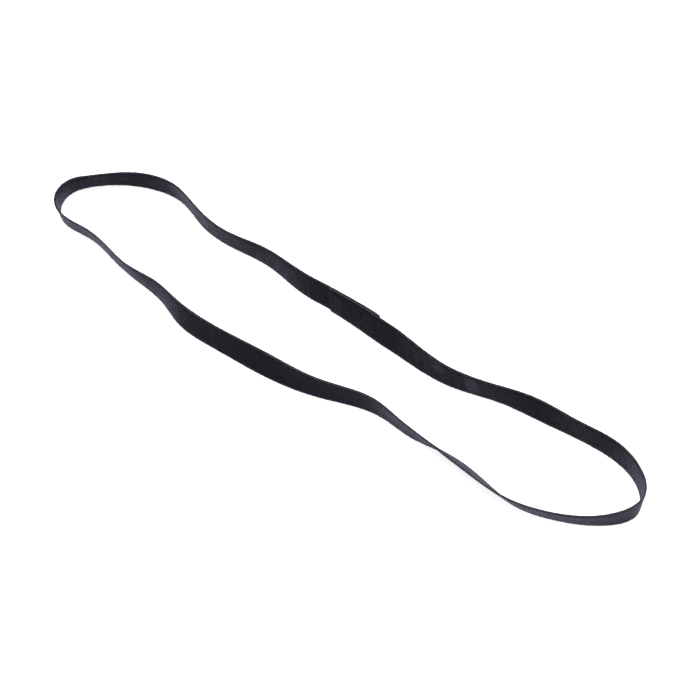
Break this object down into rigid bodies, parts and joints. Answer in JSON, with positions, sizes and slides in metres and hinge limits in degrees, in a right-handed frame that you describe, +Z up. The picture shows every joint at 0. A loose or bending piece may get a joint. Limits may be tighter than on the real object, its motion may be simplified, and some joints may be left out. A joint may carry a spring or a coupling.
{
  "type": "sports headband",
  "caption": "Narrow brushed elastic headband: a woven tape with rubber threads inside, closed into a loop by a sewn lap seam and standing on its edge.",
  "frame": {"origin": "under the middle of the loop's bounding box, on the surface that it stands on", "axes": "+X along the loop's long axis towards its narrower end, +Y towards the strand with the lap seam, +Z up, out of the loop's opening"},
  "size_m": [0.2294, 0.046, 0.0103],
  "materials": {
    "face_cloth": "brushed matt knit, near-black with a faint violet cast",
    "plush_cloth": "short plush pile, near-black, greyer at a grazing angle",
    "selvedge": "turned yarn loops, near-black",
    "rubber_thread": "square-cut elastic thread, matt",
    "sewing_thread": "twisted polyester thread, slight sheen"
  },
  "bodies": {
    "root": {"outer_face_cloth": "face_cloth", "inner_face_cloth": "plush_cloth", "lower_selvedge": "selvedge", "upper_selvedge": "selvedge", "rubber_thread_01": "rubber_thread", "rubber_thread_02": "rubber_thread", "rubber_thread_03": "rubber_thread", "rubber_thread_04": "rubber_thread", "rubber_thread_05": "rubber_thread", "rubber_thread_06": "rubber_thread", "rubber_thread_07": "rubber_thread", "rubber_thread_08": "rubber_thread", "rubber_thread_09": "rubber_thread", "rubber_thread_10": "rubber_thread", "outer_end_needle_thread": "sewing_thread", "outer_end_bobbin_thread": "sewing_thread", "inner_end_needle_thread": "sewing_thread", "inner_end_bobbin_thread": "sewing_thread"}
  },
  "joints": []
}
